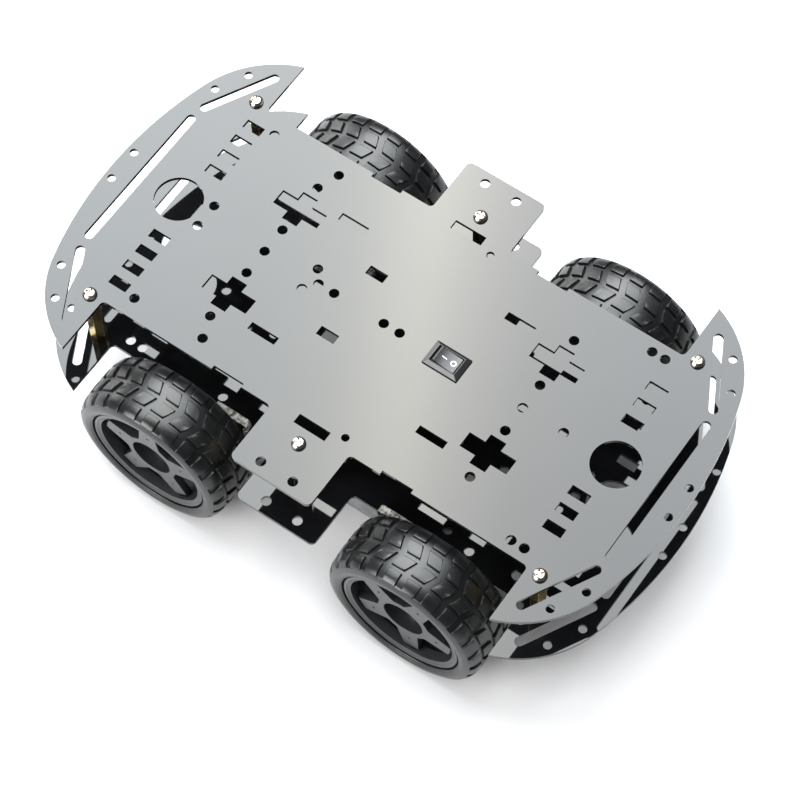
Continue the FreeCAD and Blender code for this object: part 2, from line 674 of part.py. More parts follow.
def crown_gear_shape():
    """Crown gear under the motor pinion, with the small gear that drives the idler."""
    disc = rod(CROWN_DISC_SPAN, CROWN_DISC_RADIUS, Y_AXIS)
    face_y = CROWN_DISC_SPAN[1]
    hub = rod((face_y, CROWN_SMALL_SPAN[0] + 0.1), CROWN_HUB_RADIUS, Y_AXIS)
    small = spur_gear(TEETH["crown_small"], CROWN_SMALL_SPAN)
    tip_y = -VALUE["gear_module"] * TEETH["motor"] / 2 + ADDENDUM * VALUE["gear_module"]
    blank = disc.fuse([hub, small] + crown_teeth(face_y - 0.1, tip_y))
    return blank.cut(rod((-GEARBOX_HALF, GEARBOX_HALF), VALUE["gear_bore"], Y_AXIS)).removeSplitter()


def idler_gear_shape():
    large = spur_gear(TEETH["idler_large"], IDLER_LARGE_SPAN)
    small = spur_gear(TEETH["idler_small"], IDLER_SMALL_SPAN)
    bore = rod((-GEARBOX_HALF, GEARBOX_HALF), VALUE["gear_bore"], Y_AXIS)
    return large.fuse(small).cut(bore).removeSplitter()


def output_shaft_shape():
    """Output gear on the double flat shaft that carries the wheel."""
    reach, radius, flat = VALUE["shaft_reach"], VALUE["shaft_radius"], VALUE["shaft_flat"]
    shaft = rod((-reach, reach), radius, Y_AXIS)
    length = reach - GEARBOX_HALF + 1
    for y in (GEARBOX_HALF, -reach - 1):
        for x in (flat, -flat - radius):
            shaft = shaft.cut(Part.makeBox(radius, length, 4 * radius, Vector(x, y, -2 * radius)))
    return shaft.fuse(spur_gear(TEETH["output"], OUTPUT_GEAR_SPAN)).removeSplitter()


def rotor_shape():
    """Motor shaft with its pinion, armature and commutator, about local X."""
    start, end = PINION_SPAN
    wire = gear_wire(TEETH["motor"], lambda radius, angle: Vector(start, -radius * math.cos(angle),
                                                                 -radius * math.sin(angle)))
    pinion = Part.Face(wire).extrude(X_AXIS * (end - start))
    shaft = rod(ROTOR_SHAFT_SPAN, ROTOR_SHAFT_RADIUS, X_AXIS)
    armature = rod(ARMATURE_SPAN, ARMATURE_RADIUS, X_AXIS)
    commutator = rod(COMMUTATOR_SPAN, COMMUTATOR_RADIUS, X_AXIS)
    return shaft.fuse([pinion, armature, commutator]).removeSplitter()


def gearbox_shell(name, side):
    """One half of the gearbox: side +1 faces the wheel, -1 faces the middle of the chassis."""
    body = body_of(name)
    outward = side > 0
    length, height = VALUE["gearbox_length"], VALUE["gearbox_height"]
    middle = VALUE["gearbox_front"] - length / 2
    wall = VALUE["gearbox_wall"]
    outline = sketch_on(body, "XZ_Plane", name + "_outline")
    draw_path(outline, rounded_rectangle(middle, 0, length, height, 2.0))
    pad(body, outline, "gearbox_depth / 2", reverse=outward)
    cavity = sketch_on(body, "XZ_Plane", name + "_cavity")
    draw_path(cavity, rounded_rectangle(middle, 0, length - 2 * wall, height - 2 * wall, 0.8))
    pocket(body, cavity, "gearbox_depth / 2 - gearbox_wall", reverse=not outward)

    bosses = sketch_on(body, "XZ_Plane", name + "_bosses")
    for level in (-1, 1):
        add_circle(bosses, -VALUE["bolt_offset"], level * VALUE["bolt_half_spacing"], "bolt_boss_radius")
        add_circle(bosses, COVER_SCREW_AT[0], level * COVER_SCREW_AT[1], "bolt_boss_radius - 0.3")
    pad(body, bosses, "gearbox_depth / 2 - 0.2", reverse=outward)
    ear = sketch_on(body, "XZ_Plane", name + "_ear")
    ear_x = VALUE["gearbox_front"] + EAR_REACH
    draw_path(ear, rounded_rectangle(ear_x, 0, *EAR_SIZE, 1.5))
    pad(body, ear, EAR_THICKNESS, reverse=outward)

    holes = sketch_on(body, "XZ_Plane", name + "_holes")
    add_circle(holes, 0.0, 0.0, "shaft_radius + 0.05")
    add_circle(holes, ear_x, 0.0, "thread_radius")
    for level in (-1, 1):
        add_circle(holes, -VALUE["bolt_offset"], level * VALUE["bolt_half_spacing"], "screw_hole_radius")
    pocket(body, holes)
    screws = sketch_on(body, "XZ_Plane", name + "_screw_holes")
    for level in (-1, 1):
        add_circle(screws, COVER_SCREW_AT[0], level * COVER_SCREW_AT[1], "pin_radius + 0.3")
    pocket(body, screws, 7.0 if outward else "gearbox_depth / 2", reverse=not outward)
    sockets = sketch_on(body, "XZ_Plane", name + "_pin_sockets", height=-side * (GEARBOX_HALF - wall))
    for x, z in (CROWN_AT, IDLER_AT):
        add_circle(sockets, x, z, "pin_radius")
    pocket(body, sockets, PIN_SOCKET_DEPTH, reverse=not outward)

    mouth = sketch_on(body, "YZ_Plane", name + "_motor_mouth", height=GEARBOX_END + 2 * wall)
    add_circle(mouth, 0.0, 0.0, "shaft_radius + 0.4")
    pocket(body, mouth, 3 * wall)
    recess = sketch_on(body, "XZ_Plane", name + "_strap_recess")
    for level in (-1, 1):
        z = level * (VALUE["can_radius"] + 0.05 + 1.0)
        draw_path(recess, rectangle(GEARBOX_END + 1.0, z, 5.0, 2.0))
    pocket(body, recess, "strap_half_width + 0.05", reverse=not outward)
    lugs = sketch_on(body, "XZ_Plane", name + "_strap_lugs")
    for level in (-1, 1):
        draw_path(lugs, rectangle(GEARBOX_END + 1.5, level * 10.5, *LUG_SIZE))
    pad(body, lugs, LUG_THICKNESS, reverse=outward)
    return body


def flat_sided(name, span, radius, flat):
    """Round bar along local X whose two sides across Y are cut flat; sizes are in aliases."""
    length = span[1] - span[0]
    bar = cylinder(name + "_round", (span[0], 0, 0), X_AXIS, radius, length)
    block = box(name + "_flats", (span[0], 0, -CLEAR_OF_ALL / 2), length, f"2 * ({flat})", CLEAR_OF_ALL)
    block.setExpression("Placement.Base.y", expression(f"-({flat})"))
    return common(name, bar, block)


def motor_can():
    """Flat sided steel can, open at its far end, with a bearing neck that enters the gearbox."""
    inner_end = GEARBOX_END - VALUE["can_wall"]
    tube = flat_sided("can_outside", (CAN_END, GEARBOX_END), "can_radius", "can_flat")
    hollow = flat_sided("can_inside", (CAN_END - 1, inner_end), "can_radius - can_wall",
                        "can_flat - can_wall")
    neck = cylinder("can_neck", (GEARBOX_END, 0, 0), X_AXIS, 3.0, 1.6)
    bore = cylinder("can_bearing_bore", (GEARBOX_END - 2, 0, 0), X_AXIS, BEARING_RADIUS, 6)
    return cut("motor_can_pattern", fuse("can_shell", cut("can_tube", tube, hollow), neck), bore)


def motor_end_cap():
    """Plastic cap that closes the can, with the rear bearing and slits for the terminals."""
    plug = flat_sided("end_cap_plug", (CAN_END, CAN_END + 1.8), "can_radius - can_wall - 0.03",
                      "can_flat - can_wall - 0.03")
    boss = cylinder("end_cap_boss", (CAN_END - 2.4, 0, 0), X_AXIS, 2.7, 3.0)
    bore = cylinder("end_cap_bore", (CAN_END - 1.9, 0, 0), X_AXIS, BEARING_RADIUS, 8)
    slits = [terminal_blade(f"end_cap_slit_{number}", CAN_END - 1, level * TERMINAL_Z, 4.0)
             for number, level in enumerate((-1, 1), start=1)]
    return cut("motor_end_cap_pattern", fuse("end_cap_blank", plug, boss), bore, *slits)


def terminal_blade(name, start, z, length):
    """Flat blade along local X, used for the motor's terminals and for the slits they pass."""
    corner = (start, -TERMINAL_HALF_THICKNESS, z - TERMINAL_HALF_WIDTH)
    return box(name, corner, length, 2 * TERMINAL_HALF_THICKNESS, 2 * TERMINAL_HALF_WIDTH)


def motor_strap():
    """Clear strap that hooks onto the gearbox's lugs and runs round the far end of the motor."""
    half, thickness = VALUE["strap_half_width"], VALUE["strap_thickness"]
    inner_z = VALUE["can_radius"] + 0.05
    back = CAN_END - 2.6
    front = GEARBOX_END + 3.05
    outside = box("strap_outside", (back - thickness, -half, -inner_z - thickness),
                  front - back + thickness, "2 * strap_half_width", 2 * (inner_z + thickness))
    inside = box("strap_inside", (back, -half - 1, -inner_z), CLEAR_OF_ALL + 10, 2 * half + 2, 2 * inner_z)
    window_x, window_y = [size + 0.1 for size in (LUG_SIZE[0], 2 * LUG_THICKNESS)]
    windows = box("strap_windows", (GEARBOX_END + 0.85, -window_y / 2, -CLEAR_OF_ALL / 2),
                  window_x, window_y, CLEAR_OF_ALL)
    return cut("motor_strap_pattern", outside, inside, windows)


def magnet_segment(name, side):
    """Curved magnet inside the can, above (+1) or below (-1) the rotor."""
    start, end = MAGNET_SPAN
    length = end - start
    ring = cut(name + "_ring",
               cylinder(name + "_outer", (start, 0, 0), X_AXIS, "can_radius - can_wall - 0.02", length),
               cylinder(name + "_inner", (start - 1, 0, 0), X_AXIS, MAGNET_BORE_RADIUS, length + 2))
    low = MAGNET_EDGE if side > 0 else -MAGNET_EDGE - CLEAR_OF_ALL
    window = box(name + "_window", (start - 1, -MAGNET_HALF_WIDTH, low), length + 2,
                 2 * MAGNET_HALF_WIDTH, CLEAR_OF_ALL)
    return common(name, ring, window)


def gear_pin(name, place, collar_y):
    """Steel pin across the gearbox with the collar that a middle gear rests on."""
    x, z = place
    half = GEARBOX_HALF - VALUE["gearbox_wall"] + PIN_SOCKET_DEPTH
    pin = cylinder(name + "_rod", (x, -half, z), Y_AXIS, "pin_radius", 2 * half)
    return fuse(name, pin, cylinder(name + "_collar", (x, collar_y, z), Y_AXIS, 1.4, 0.4))


def cover_screw():
    """Small screw that holds the two gearbox halves together, driven from the inner side."""
    head_height = 1.2
    shank = cylinder("cover_screw_shank", (0, -GEARBOX_HALF, 0), Y_AXIS, "pin_radius + 0.25", 15.4)
    head = cylinder("cover_screw_head", (0, -GEARBOX_HALF - head_height, 0), Y_AXIS, 1.9, head_height)
    slit = box("cover_screw_slit", (-2.5, -GEARBOX_HALF - head_height - 0.1, -0.25), 5, 0.6, 0.5)
    return cut("cover_screw_pattern", fuse("cover_screw_blank", shank, head), slit)


def mesh_angle(first_at, first_angle, first_teeth, second_at, second_teeth):
    """Turn of a second gear, in degrees about +Y, that puts its gap on the first gear's tooth."""
    towards = math.degrees(math.atan2(second_at[0] - first_at[0], second_at[1] - first_at[1]))
    behind = (first_angle - towards) * first_teeth
    return towards + 180 + (180 - behind) / second_teeth


# ---------------------------------------------------------------- wheels, in the motor's frame

def rim():
    """Star spoked rim about local Y, with one arm pointing along +Z and the flats upright."""
    body = body_of("rim_pattern")
    seat, opening = VALUE["seat_radius"], VALUE["opening_radius"]
    barrel = seat - VALUE["barrel_wall"]
    front = VALUE["spoke_front"]
    back = front - VALUE["spoke_thickness"]
    hub, ring, bowl = VALUE["hub_radius"], VALUE["hub_ring_radius"] - 1.2, VALUE["bowl_radius"]
    hub_back = GEARBOX_HALF + 0.5
    bowl_floor = 26.2
    section = sketch_on(body, "XY_Plane", "rim_section")
    outline = polyline([
        (0, bowl_floor), (0, hub_back), (hub, hub_back), (hub, 24.4), (ring, 26.0), (ring, back),
        (barrel, back), (barrel, 15.2), (seat, 15.2), (seat, 36.6), (24.4, 37.5), (23.4, 37.6),
        (22.7, 37.0), (opening, 36.8), (opening, 34.2), (20.3, front), (bowl, front)])
    # The bowl is part of a ball, so a round dish closes the outline instead of a straight edge.
    depth = front - bowl_floor
    ball = (bowl ** 2 + depth ** 2) / (2 * depth)
    lean = math.atan2(depth - ball, bowl) / 2 - math.pi / 4
    dish_middle = Vector(ball * math.cos(lean), bowl_floor + ball + ball * math.sin(lean), 0)
    outline[-1] = Part.Arc(Vector(bowl, front, 0), dish_middle, Vector(0, bowl_floor, 0))
    draw_path(section, outline)
    turned = body.newObject("PartDesign::Revolution", "rim_turned")
    turned.Profile = section
    turned.ReferenceAxis = (section, ["V_Axis"])
    turned.Angle = 360
    doc.recompute()

    window = sketch_on(body, "XZ_Plane", "rim_window")
    draw_path(window, window_outline())
    first = pocket(body, window)
    windows = body.newObject("PartDesign::PolarPattern", "rim_windows")
    windows.Originals = [first]
    axis = [item for item in body.Origin.OriginFeatures if item.Role == "Y_Axis"][0]
    windows.Axis = (axis, [""])
    windows.Angle = 360
    bind(windows, Occurrences="spoke_count")
    body.Tip = windows
    doc.recompute()

    flats = sketch_on(body, "XZ_Plane", "rim_bore", height=-(hub_back - 1))
    radius, flat = VALUE["shaft_radius"] + 0.03, VALUE["shaft_flat"] + 0.03
    rise = math.sqrt(radius ** 2 - flat ** 2)
    right = Part.LineSegment(Vector(flat, -rise, 0), Vector(flat, rise, 0))
    left = Part.LineSegment(Vector(-flat, rise, 0), Vector(-flat, -rise, 0))
    draw_path(flats, [right, left,
                      Part.Arc(Vector(flat, rise, 0), Vector(0, radius, 0), Vector(-flat, rise, 0)),
                      Part.Arc(Vector(-flat, -rise, 0), Vector(0, -radius, 0), Vector(flat, -rise, 0))])
    pocket(body, flats, "shaft_reach - gearbox_depth / 2 + 1.5")
    marks = sketch_on(body, "XZ_Plane", "rim_ejector_marks", height=-front)
    for arm in range(VALUE["spoke_count"]):
        angle = 2 * math.pi * arm / VALUE["spoke_count"]
        add_circle(marks, 14.5 * math.sin(angle), 14.5 * math.cos(angle), "gear_bore - 0.25")
    pocket(body, marks, 0.35, reverse=True)
    return body


def window_outline():
    """Opening between two arms: straight arm edges, round inner corners and the rim's circle."""
    ring, outer = VALUE["hub_ring_radius"], VALUE["opening_radius"]
    half_step = math.pi / VALUE["spoke_count"]
    fillet = 1.8
    near = Vector(4.5, math.sqrt(ring ** 2 - 4.5 ** 2), 0)
    far = Vector(3.1, math.sqrt(outer ** 2 - 3.1 ** 2), 0)
    along = (far - near).normalize()
    normal = Vector(along.y, -along.x, 0)
    # The fillet's centre is one fillet away from the arm's edge and from the hub ring.
    start = near + normal * fillet
    run = -start.dot(along) + math.sqrt(start.dot(along) ** 2 - start.dot(start) + (ring + fillet) ** 2)
    centre = start + along * run
    on_edge = centre - normal * fillet
    on_ring = centre * (ring / (ring + fillet))
    corner = centre + (on_edge + on_ring - centre * 2).normalize() * fillet
    middle = Vector(math.sin(half_step), math.cos(half_step), 0)

    def mirror(point):
        return middle * (2 * point.dot(middle)) - point

    return [Part.LineSegment(far, on_edge), Part.Arc(on_edge, corner, on_ring),
            Part.Arc(on_ring, middle * ring, mirror(on_ring)),
            Part.Arc(mirror(on_ring), mirror(corner), mirror(on_edge)),
            Part.LineSegment(mirror(on_edge), mirror(far)),
            Part.Arc(mirror(far), middle * outer, far)]


def tyre():
    """Rubber tyre, turned about local Y, with a crowned tread and bulged side walls."""
    body = body_of("tyre_pattern")
    radius, seat = VALUE["wheel_radius"], VALUE["seat_radius"]
    inner, width = VALUE["tyre_inner_face"], VALUE["tyre_width"]
    middle = inner + width / 2
    half = width / 2
    section = sketch_on(body, "XY_Plane", "tyre_section")
    side = [(0.0, radius), (6.5, radius - 0.2), (10.4, radius - 0.9), (12.0, radius - 2.1),
            (half, radius - 4.6), (half - 0.1, radius - 6.2), (half - 1.2, seat)]
    points = [(r, middle + y) for y, r in side]
    points += [(r, middle - y) for y, r in reversed(side[1:])]
    draw_path(section, polyline(points))
    turned = body.newObject("PartDesign::Revolution", "tyre_turned")
    turned.Profile = section
    turned.ReferenceAxis = (section, ["V_Axis"])
    turned.Angle = 360
    doc.recompute()
    return body


# ---------------------------------------------------------------- rocker switch

PIVOT_BELOW_BEZEL = 2.3
BEZEL_EDGE = 0.7
BEZEL_RIM = (11.2, 7.6)
SWITCH_BODY = (13.2, 8.7)
SWITCH_CAVITY = (10.6, 7.0)
SWITCH_DEPTH = 10.5
SWITCH_FLOOR = 8.2
SWITCH_TERMINAL_X = (0.0, 4.6)
SWITCH_TERMINAL_SIZE = (0.8, 3.8)
SWITCH_TERMINAL_SPAN = (-19.0, -8.5)
ROCKER_HALF_WIDTH = 3.35
ROCKER_END_RADIUS = 5.15
ROCKER_MIDDLE_RISE = 2.2
ROCKER_TIP_RISE = 2.75
ROCKER_KEEL_HALF = 1.6
ROCKER_KEEL_Z = -3.6
ROCKER_END_LOW_ANGLE = -24.0
ROCKER_PIN_HALF = 4.15


def switch_blade(name, x, low, high):
    """Upright terminal of the switch; its sides also shape the slit in the switch's floor."""
    thick, wide = SWITCH_TERMINAL_SIZE
    return box(name, (x - thick / 2, -wide / 2, low), thick, wide, high - low)


def rocker_profile():
    """Outline of the rocker about its pivot: dished face, round ends, sloping sides and keel."""
    reach = ROCKER_END_RADIUS
    tip_x = math.sqrt(reach ** 2 - ROCKER_TIP_RISE ** 2)
    angle = math.radians(ROCKER_END_LOW_ANGLE)
    tips, keels = [], []
    edges = []
    for side in (-1, 1):
        tips.append(Vector(side * tip_x, 0, ROCKER_TIP_RISE))
        keels.append(Vector(side * ROCKER_KEEL_HALF, 0, ROCKER_KEEL_Z))
        low = Vector(side * reach * math.cos(angle), 0, reach * math.sin(angle))
        edges.append(Part.Arc(tips[-1], Vector(side * reach, 0, 0), low))
        edges.append(Part.LineSegment(low, keels[-1]))
    edges.append(Part.Arc(tips[0], Vector(0, 0, ROCKER_MIDDLE_RISE), tips[1]))
    edges.append(Part.LineSegment(*keels))
    return edges


def rocker_switch():
    bezel_top = UPPER_TOP + VALUE["bezel_height"]
    x = VALUE["switch_x"]
    body_x, body_y = SWITCH_BODY
    cavity_x, cavity_y = SWITCH_CAVITY
    flange = box("switch_flange", (-VALUE["bezel_length"] / 2, -VALUE["bezel_width"] / 2,
                                   -VALUE["bezel_height"]), "bezel_length", "bezel_width", BEZEL_EDGE)
    # The bezel's four sides slope up from the flange's edge to a narrow rim round the rocker.
    slopes = doc.addObject("Part::Wedge", "switch_bezel_slopes")
    bind(slopes, Xmin="-bezel_length / 2", Xmax="bezel_length / 2",
         Zmin="-bezel_width / 2", Zmax="bezel_width / 2",
         X2min=-BEZEL_RIM[0] / 2, X2max=BEZEL_RIM[0] / 2,
         Z2min=-BEZEL_RIM[1] / 2, Z2max=BEZEL_RIM[1] / 2,
         Ymin=0, Ymax=f"bezel_height - {BEZEL_EDGE}")
    slopes.Placement = at(0, 0, BEZEL_EDGE - VALUE["bezel_height"], Rotation(X_AXIS, 90))
    bottom = -VALUE["bezel_height"] - SWITCH_DEPTH
    lower = box("switch_body", (-body_x / 2, -body_y / 2, bottom), body_x, body_y, SWITCH_DEPTH + 0.5)
    cavity = box("switch_cavity", (-cavity_x / 2, -cavity_y / 2, -SWITCH_FLOOR), cavity_x, cavity_y,
                 SWITCH_FLOOR + 1)
    pivot = cylinder("switch_pivot_holes", (0, -body_y / 2 + 0.1, -PIVOT_BELOW_BEZEL), Y_AXIS,
                     "gear_bore + 0.05", body_y - 0.2)
    slits = [switch_blade(f"switch_slit_{number}", blade_x, bottom - 1, -SWITCH_FLOOR + 1)
             for number, blade_x in enumerate(SWITCH_TERMINAL_X, start=1)]
    housing = cut("switch_housing_pattern", fuse("switch_shell", flange, slopes, lower), cavity, pivot, *slits)
    node("switch_housing", housing, at(x, 0, bezel_top))

    profile = Part.Wire(Part.__sortEdges__([edge.toShape() for edge in rocker_profile()]))
    solid = Part.Face(profile).extrude(Vector(0, 2 * ROCKER_HALF_WIDTH, 0))
    solid.translate(Vector(0, -ROCKER_HALF_WIDTH, 0))
    pin = rod((-ROCKER_PIN_HALF, ROCKER_PIN_HALF), VALUE["gear_bore"] - 0.02, Y_AXIS)
    rocker = feature("switch_rocker_pattern", solid.fuse(pin).removeSplitter())
    lean = Rotation(Y_AXIS, VALUE["rocker_tilt"])
    node("switch_rocker", rocker, at(x, 0, bezel_top - PIVOT_BELOW_BEZEL, lean))

    blade = switch_blade("switch_blade_pattern", 0.0, *SWITCH_TERMINAL_SPAN)
    places = [at(x + blade_x, 0, bezel_top) for blade_x in SWITCH_TERMINAL_X]
    node("switch_terminals", copies("switch_terminal", blade, places))


# ---------------------------------------------------------------- assembly

# Corner name, side along X, side along Y, half turn into place, rest turn of the wheel.
CORNERS = [
    ("front_left", 1, 1, None, 25.0),
    ("front_right", 1, -1, X_AXIS, 9.0),
    ("rear_left", -1, 1, Y_AXIS, 52.0),
    ("rear_right", -1, -1, Z_AXIS, 0.0),
]


def motor_units():
    patterns = {
        "gearbox_outer_half": gearbox_shell("gearbox_outer_pattern", 1),
        "gearbox_inner_half": gearbox_shell("gearbox_inner_pattern", -1),
        "motor_can": motor_can(),
        "motor_end_cap": motor_end_cap(),
        "motor_strap": motor_strap(),
    }
    shaft = feature("output_shaft_pattern", output_shaft_shape())
    idler = feature("idler_gear_pattern", idler_gear_shape())
    crown = feature("crown_gear_pattern", crown_gear_shape())
    rotor = feature("rotor_pattern", rotor_shape())
    rim_pattern, tyre_pattern = rim(), tyre()
    pins = [gear_pin("crown_pin", CROWN_AT, -5.5), gear_pin("idler_pin", IDLER_AT, 0.3)]
    magnets = [magnet_segment("upper_magnet", 1), magnet_segment("lower_magnet", -1)]
    screw = cover_screw()
    terminal = terminal_blade("motor_terminal_pattern", CAN_END - 2.3, 0.0, 4.0)

    shared = {"gear_pins": [], "motor_magnets": [], "gearbox_screws": [], "motor_terminals": []}
    for corner, along, across, half_turn, rest in CORNERS:
        turn = Rotation(half_turn, 180) if half_turn else Rotation()
        place = at(along * VALUE["axle_x"], across * MOTOR_Y, AXLE_Z, turn)
        for name, pattern in patterns.items():
            node(f"{corner}_{name}", pattern, place)

        idler_turn = mesh_angle((0, 0), rest, TEETH["output"], IDLER_AT, TEETH["idler_small"])
        crown_turn = mesh_angle(IDLER_AT, idler_turn, TEETH["idler_large"], CROWN_AT,
                                TEETH["crown_small"])
        # The pinion's gap sits on the crown tooth nearest to it, on the motor side of the crown.
        pinion_turn = (270 - crown_turn) * TEETH["crown"] / TEETH["motor"] + 180 / TEETH["motor"]

        def spun(x, z, angle):
            return place * at(x, 0, z, Rotation(Y_AXIS, angle))

        node(f"{corner}_output_shaft", shaft, spun(0, 0, rest))
        node(f"{corner}_idler_gear", idler, spun(*IDLER_AT, idler_turn))
        node(f"{corner}_crown_gear", crown, spun(*CROWN_AT, crown_turn))
        node(f"{corner}_motor_rotor", rotor, place * at(0, 0, 0, Rotation(X_AXIS, pinion_turn)))
        node(f"{corner}_rim", rim_pattern, spun(0, 0, rest))
        node(f"{corner}_tyre", tyre_pattern, spun(0, 0, rest))

        shared["gear_pins"] += copies(f"{corner}_crown_pin", pins[0], [place])
        shared["gear_pins"] += copies(f"{corner}_idler_pin", pins[1], [place])
        for magnet in magnets:
            shared["motor_magnets"] += copies(f"{corner}_{magnet.Name}", magnet, [place])
        screw_places = [place * at(COVER_SCREW_AT[0], 0, level * COVER_SCREW_AT[1]) for level in (-1, 1)]
        shared["gearbox_screws"] += copies(f"{corner}_cover_screw", screw, screw_places)
        tab_places = [place * at(0, 0, level * TERMINAL_Z) for level in (-1, 1)]
        shared["motor_terminals"] += copies(f"{corner}_terminal", terminal, tab_places)
    for name, group in shared.items():
        node(name, group)


def check_and_write():
    doc.recompute()
    for obj in doc.Objects:
        if "Invalid" in obj.State or "Error" in obj.State:
            raise RuntimeError(f"{obj.Name} is {obj.State}")
    os.makedirs("parts", exist_ok=True)
    for item in NODES:
        shape = item.Shape
        if shape.isNull() or not shape.isValid():
            raise RuntimeError(f"{item.Label} has no valid shape")
        shape.exportStep(f"parts/{item.Label}.step")
    print(len(NODES), "nodes,", sum(len(item.Shape.Solids) for item in NODES), "solids")


plate("upper_plate", UPPER_BOTTOM)
plate("lower_plate", LOWER_BOTTOM, turn=180)
fasteners()
brackets()
motor_units()
rocker_switch()
check_and_write()
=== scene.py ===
import json
import math

import bmesh
import bpy
from mathutils import Matrix, Vector

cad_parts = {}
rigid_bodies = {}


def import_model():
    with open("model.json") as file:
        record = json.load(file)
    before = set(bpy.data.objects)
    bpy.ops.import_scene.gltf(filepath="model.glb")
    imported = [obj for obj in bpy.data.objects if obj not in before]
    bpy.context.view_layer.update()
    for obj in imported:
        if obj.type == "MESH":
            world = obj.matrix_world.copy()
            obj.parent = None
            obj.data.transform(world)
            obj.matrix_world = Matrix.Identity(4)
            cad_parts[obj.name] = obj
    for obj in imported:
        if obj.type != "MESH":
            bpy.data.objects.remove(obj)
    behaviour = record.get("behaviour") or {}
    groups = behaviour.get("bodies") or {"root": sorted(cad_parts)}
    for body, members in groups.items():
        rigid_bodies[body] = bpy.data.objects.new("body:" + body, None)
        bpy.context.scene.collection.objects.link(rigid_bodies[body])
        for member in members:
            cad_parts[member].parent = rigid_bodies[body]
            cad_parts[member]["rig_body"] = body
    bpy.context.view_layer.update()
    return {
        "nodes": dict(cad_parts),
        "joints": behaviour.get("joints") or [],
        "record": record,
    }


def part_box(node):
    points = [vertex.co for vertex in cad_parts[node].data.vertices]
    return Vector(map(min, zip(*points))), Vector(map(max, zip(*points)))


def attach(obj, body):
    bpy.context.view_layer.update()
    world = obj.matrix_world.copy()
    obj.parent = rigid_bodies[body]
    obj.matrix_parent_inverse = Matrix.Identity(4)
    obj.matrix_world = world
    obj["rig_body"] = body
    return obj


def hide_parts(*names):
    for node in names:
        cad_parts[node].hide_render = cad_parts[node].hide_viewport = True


# Looks for the four wheel robot chassis, in metres and in the CAD model's own frame. Lengths
# that are easier to read in millimetres are written as a number times MM.

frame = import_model()
MM = 0.001
CORNERS = ("front_left", "front_right", "rear_left", "rear_right")


# ---------------------------------------------------------------- materials

def colour_ramp(tree, factor, stops, interpolation="LINEAR"):
    """Colour stops given as (position, grey level) or (position, (r, g, b))."""
    node = tree.nodes.new("ShaderNodeValToRGB")
    node.color_ramp.interpolation = interpolation
    elements = node.color_ramp.elements
    while len(elements) < len(stops):
        elements.new(0.5)
    for element, (position, colour) in zip(elements, stops):
        element.position = position
        colour = colour if isinstance(colour, tuple) else (colour,) * 3
        element.color = (*colour, 1.0)
    tree.links.new(factor, node.inputs["Fac"])
    return node.outputs["Color"]


class Surface:
    """A node material, with short ways to add the few kinds of node that the looks need."""

    def __init__(self, name, **sockets):
        self.material = bpy.data.materials.new(name)
        self.material.use_nodes = True
        self.tree = self.material.node_tree
        self.shader = self.tree.nodes["Principled BSDF"]
        self.place = self.add("ShaderNodeTexCoord").outputs["Object"]
        for socket, value in sockets.items():
            self.shader.inputs[socket.replace("_", " ")].default_value = value

    def add(self, kind, **settings):
        node = self.tree.nodes.new(kind)
        for name, value in settings.items():
            setattr(node, name, value)
        return node

    def link(self, output, target):
        self.tree.links.new(output, target)

    def stretched(self, stretch):
        """The place with each axis scaled; a small scale draws the pattern out along that axis."""
        mapping = self.add("ShaderNodeMapping")
        mapping.inputs["Scale"].default_value = stretch
        self.link(self.place, mapping.inputs["Vector"])
        return mapping.outputs["Vector"]

    def noise(self, size, detail=3.0, stretch=None):
        """Noise whose features are about this size in metres."""
        node = self.add("ShaderNodeTexNoise")
        node.inputs["Scale"].default_value = 1.0 / size
        node.inputs["Detail"].default_value = detail
        self.link(self.stretched(stretch) if stretch else self.place, node.inputs["Vector"])
        return node.outputs["Fac"]

    def bands(self, size, axis, distortion=0.0):
        """Bands this far apart in metres; a wave of scale 1 repeats every 0.314 m."""
        node = self.add("ShaderNodeTexWave", wave_type="BANDS", bands_direction=axis)
        node.inputs["Scale"].default_value = 0.314 / size
        node.inputs["Distortion"].default_value = distortion
        self.link(self.place, node.inputs["Vector"])
        return node.outputs["Fac"]

    def ramp(self, factor, *stops):
        return colour_ramp(self.tree, factor, stops)

    def mixed(self, factor, first, second):
        """Two colours mixed; sockets 0, 6, 7 and output 2 are the ones the node has for colours."""
        node = self.add("ShaderNodeMix", data_type="RGBA")
        for output, socket in ((factor, 0), (first, 6), (second, 7)):
            self.link(output, node.inputs[socket])
        return node.outputs[2]

    def colour(self, output):
        self.link(output, self.shader.inputs["Base Color"])

    def rough(self, output):
        self.link(output, self.shader.inputs["Roughness"])

    def sheltered(self, reach):
        """0 in recesses narrower than this reach, rising to 1 on open surfaces."""
        node = self.add("ShaderNodeAmbientOcclusion", samples=8)
        node.inputs["Distance"].default_value = reach
        return node.outputs["AO"]

    def bump(self, height, depth, strength=1.0):
        """Raise the surface by up to this depth in metres; several calls add up."""
        node = self.add("ShaderNodeBump")
        node.inputs["Strength"].default_value = strength
        node.inputs["Distance"].default_value = depth
        self.link(height, node.inputs["Height"])
        if self.shader.inputs["Normal"].is_linked:
            self.link(self.shader.inputs["Normal"].links[0].from_socket, node.inputs["Normal"])
        self.link(node.outputs["Normal"], self.shader.inputs["Normal"])


